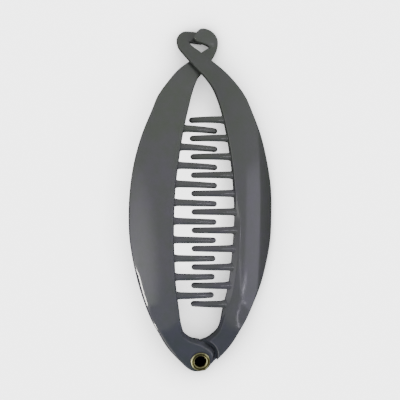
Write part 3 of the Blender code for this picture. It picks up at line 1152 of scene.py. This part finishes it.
@dataclass
class Studio:
    """Light table, a soft sky with panels and windows, and the camera straight above."""

    floor_half: float = 3.0
    floor_colour: tuple = (0.88, 0.88, 0.88, 1.0)
    floor_rough: float = 0.9
    floor_glow: float = 3.2
    contact_reach: float = 0.012
    contact_depth: float = 2.0
    camera_height: float = 1.6
    camera_reach: float = 10.0
    focus_height: float = 0.008
    sensor_width: float = 36.0
    offset_pixels: tuple = (0.15, 0.0)
    sky_above: float = 0.95
    sky_horizon: float = 0.52
    sky_below: float = 0.08
    sky_least: tuple = (0.05, 0.05, 0.05)
    horizon_blur: float = 0.01
    haze_depth: float = 0.4
    panels: tuple = (
        SkyPanel(203.0, 22.0, 32.0, 1.75),
        SkyPanel(0.0, 14.0, 50.0, 0.25, (0.95, 0.95, 1.1)),
        SkyPanel(-72.0, 50.0, 30.0, -0.65, (1.1, 1.0, 0.85)),
    )
    windows: tuple = (
        SkyWindow((-30.0, 5.0), (7.0, 5.0), 16.0, 0.85, 1.5, (1.0, 0.92, 1.25)),
        SkyWindow((-16.3, 17.5), (-21.9, 20.6), 0.4, 11.0, 0.4, COOL_TINT),
        SkyWindow((-21.6, 22.4), (-8.2, 32.8), 0.4, 4.0, 0.4, COOL_TINT),
        SkyWindow((-8.2, 32.8), (-0.7, 45.9), 0.5, 11.0, 0.4, COOL_TINT),
        SkyWindow((-0.7, 45.9), (-3.1, 56.7), 0.5, 11.0, 0.4, COOL_TINT),
        SkyWindow((-3.1, 56.7), (-22.5, 63.9), 0.5, 11.0, 0.4, COOL_TINT),
        SkyWindow((-98.0, 4.0), (-129.0, 31.0), 5.0, 4.0, 2.0),
    )
    lights: tuple = (
        SoftLight("far_box", (0.2, 1.1, 1.0), (0.0, 0.0, 0.0), (0.9, 0.6), 6.0),
        SoftLight("left_window", (-1.31, -0.61, 0.33), (0.0, 0.0, 0.01), (0.5, 0.34), 29.0,
                  (1.0, 0.98, 0.92), "left_arm_moulding"),
    )

    def floor(self) -> None:
        """Lay the light table, whose glow is dimmed by ambient occlusion into a painted contact
        shadow where something nears it.
        """
        mesh = bmesh.new()
        bmesh.ops.create_grid(mesh, x_segments=1, y_segments=1, size=self.floor_half)
        floor = new_object("table_top", mesh, Matrix.Identity(4))
        material, nodes, shader = new_material("pale_table")
        # Glow times ambient occlusion: a painted contact shadow under and beside the clip.
        open_sky = nodes.take("ShaderNodeAmbientOcclusion", "AO",
                              {"Distance": self.contact_reach}, samples=8)
        deep = nodes.math("POWER", open_sky, self.contact_depth)
        nodes.feed(shader, {
            "Base Color": self.floor_colour,
            "Roughness": self.floor_rough,
            "Emission Color": (1.0, 1.0, 1.0, 1.0),
            "Emission Strength": nodes.math("MULTIPLY", deep, self.floor_glow),
        })
        floor.data.materials.append(material)
        floor.visible_glossy = False
        floor.visible_diffuse = False
        floor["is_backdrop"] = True

    def sky(self) -> None:
        """Make the sky: an even dome over a haze that darkens downwards, panels and windows."""
        world = bpy.data.worlds.new("studio_sky")
        world.use_nodes = True
        nodes = Nodes(world.node_tree)
        look = nodes.take("ShaderNodeTexCoord", "Generated")
        height = nodes.take("ShaderNodeSeparateXYZ", "Z", {"Vector": look})
        above = nodes.remap(height, (-self.horizon_blur, self.horizon_blur))
        haze = nodes.remap(height, (-self.haze_depth, 0.0), (self.sky_below, self.sky_horizon))
        dome = nodes.math("MULTIPLY_ADD", above, self.sky_above - self.sky_horizon, haze)
        result = nodes.take("ShaderNodeCombineXYZ", "Vector", dict.fromkeys("XYZ", dome))
        shares = []
        for panel in self.panels:
            facing = nodes.vector("DOT_PRODUCT", look, panel.direction(), output="Value")
            reach = (math.cos(math.radians(panel.spread)), 1.0)
            share = nodes.remap(facing, reach, interpolation_type="SMOOTHSTEP")
            shares.append((panel, share))
        shares += [(window, window.add(nodes, look)) for window in self.windows]
        for patch, share in shares:
            glow = tuple(patch.strength * part for part in patch.tint)
            tinted = nodes.take("ShaderNodeVectorMath", "Vector", {
                0: glow, "Scale": nodes.math("MULTIPLY", share, above)}, operation="SCALE")
            result = nodes.vector("ADD", result, tinted)
        background = world.node_tree.nodes["Background"]
        nodes.feed(background, {"Color": nodes.vector("MAXIMUM", result, self.sky_least)})
        bpy.context.scene.world = world

    def camera(self) -> None:
        """Set the camera above the clip, framed as the photograph."""
        data = bpy.data.cameras.new("overhead")
        data.sensor_width = self.sensor_width
        frame_width = PHOTO_PIXELS * MM_PER_PIXEL * MM
        data.lens = self.sensor_width * self.camera_height / frame_width
        data.clip_end = self.camera_reach
        camera = linked("overhead", data)
        pixel = MM_PER_PIXEL * MM
        camera.location = (-self.offset_pixels[0] * pixel, self.offset_pixels[1] * pixel,
                           self.camera_height + self.focus_height)
        bpy.context.scene.camera = camera

    def build(self) -> None:
        """Set up table, sky, lights and camera."""
        self.floor()
        self.sky()
        for light in self.lights:
            light.build()
        self.camera()


def corners() -> list[list[float]]:
    """Lowest and highest corner of everything that belongs to the clip."""
    low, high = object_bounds()
    return [[float(value) for value in low], [float(value) for value in high]]


def main() -> None:
    """Build the clip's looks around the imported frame."""
    logging.basicConfig(level=logging.INFO, format="%(name)s: %(message)s")
    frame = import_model()
    cad_box = corners()
    hinge = Vector(frame["joints"][0]["pos_m"])
    arch = Arch()
    rest = RestFrame(arch)
    place = rest.matrix(hinge)
    axis = rest.axis_matrix(hinge)
    lap = HingeLap()
    plastic = PlasticFinish().build("grey_plastic", cad_box[1][1] - cad_box[0][1])
    brass = BrassFinish().build("aged_brass", axis)
    combs = (
        Comb(Side.LEFT, 10, heights=(24.5, -32.8), slants=(-0.042, -0.02), reaches=(5.6, 4.55)),
        Comb(Side.RIGHT, 11, heights=(28.0, -35.8), slants=(0.024, -0.04), reaches=(5.1, 4.1)),
    )
    for comb in combs:
        arm = Arm(comb.side, comb, arch, lap)
        piece = arm.build(place, axis, plastic)
        arm.dress(piece)
        LOG.info("%s: %d faces", piece.name, len(piece.data.polygons))
    eyelet = Eyelet()
    ring = eyelet.build(axis, brass)
    eyelet.dress(ring)
    LOG.info("%s: %d faces", ring.name, len(ring.data.polygons))
    Studio().build()


if __name__ == "__main__":
    main()
